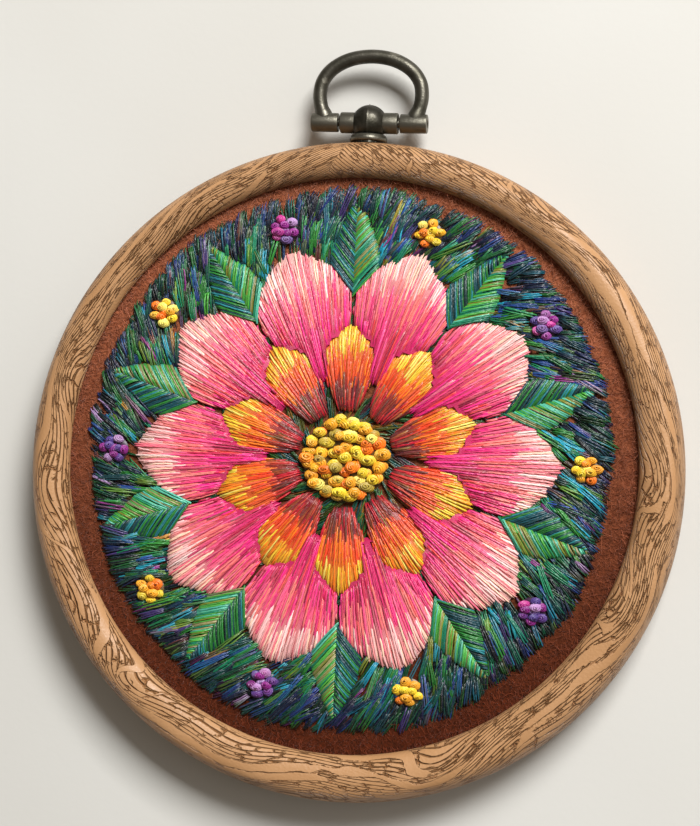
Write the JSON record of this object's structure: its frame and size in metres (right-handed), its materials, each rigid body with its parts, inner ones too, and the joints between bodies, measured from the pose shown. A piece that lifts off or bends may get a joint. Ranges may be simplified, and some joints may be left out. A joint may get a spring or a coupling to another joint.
{
  "type": "embroidered felt in a round flexible hoop with a hinged hanging bail",
  "caption": "Small round embroidery on brown felt, gripped by a woodgrain vinyl hoop over a hidden inner ring, with a hinged D-shaped metal bail at its top.",
  "frame": {"origin": "middle of the bounding box's underside: the plane on which the hoop's flat back lies, 7 mm towards the bail from the hoop's centre", "axes": "+Z leaves the stitched face, +Y points from the hoop's centre to the bail, +X runs along the bail's hinge pin"},
  "size_m": [0.096, 0.11, 0.01],
  "materials": {
    "vinyl": "soft woodgrain vinyl, semi-matt",
    "plastic": "moulded, matt",
    "felt": "brown wool felt",
    "bronze": "antique bronze plating",
    "thread_centre": "cotton thread knots",
    "thread_inner": "satin-stitched cotton thread",
    "thread_outer": "satin-stitched cotton thread",
    "thread_leaf": "satin-stitched cotton thread",
    "thread_knots": "cotton thread knots",
    "thread_ground": "straight-stitched cotton thread"
  },
  "bodies": {
    "hoop": {"outer_hoop": "vinyl", "inner_hoop": "plastic", "felt_ground": "felt", "hanger_washer": "bronze", "hanger_post": "bronze", "inner_petal_00": "thread_inner", "outer_petal_00": "thread_outer", "leaf_00": "thread_leaf", "knot_cluster_00": "thread_knots", "inner_petal_01": "thread_inner", "outer_petal_01": "thread_outer", "leaf_01": "thread_leaf", "knot_cluster_01": "thread_knots", "inner_petal_02": "thread_inner", "outer_petal_02": "thread_outer", "leaf_02": "thread_leaf", "knot_cluster_02": "thread_knots", "inner_petal_03": "thread_inner", "outer_petal_03": "thread_outer", "leaf_03": "thread_leaf", "knot_cluster_03": "thread_knots", "inner_petal_04": "thread_inner", "outer_petal_04": "thread_outer", "leaf_04": "thread_leaf", "knot_cluster_04": "thread_knots", "inner_petal_05": "thread_inner", "outer_petal_05": "thread_outer", "leaf_05": "thread_leaf", "knot_cluster_05": "thread_knots", "inner_petal_06": "thread_inner", "outer_petal_06": "thread_outer", "leaf_06": "thread_leaf", "knot_cluster_06": "thread_knots", "inner_petal_07": "thread_inner", "outer_petal_07": "thread_outer", "leaf_07": "thread_leaf", "knot_cluster_07": "thread_knots", "inner_petal_08": "thread_inner", "outer_petal_08": "thread_outer", "leaf_08": "thread_leaf", "knot_cluster_08": "thread_knots", "inner_petal_09": "thread_inner", "outer_petal_09": "thread_outer", "leaf_09": "thread_leaf", "knot_cluster_09": "thread_knots", "stitched_ground": "thread_ground", "centre_knots": "thread_centre"},
    "bail": {"bail": "bronze", "hinge_pin": "bronze"}
  },
  "joints": [
    {"name": "bail_swing", "type": "hinge", "parent": "hoop", "child": "bail", "pos_m": [0, 0.0441, 0.0042], "axis": [1, 0, 0], "range_deg": [-120, 120]}
  ]
}
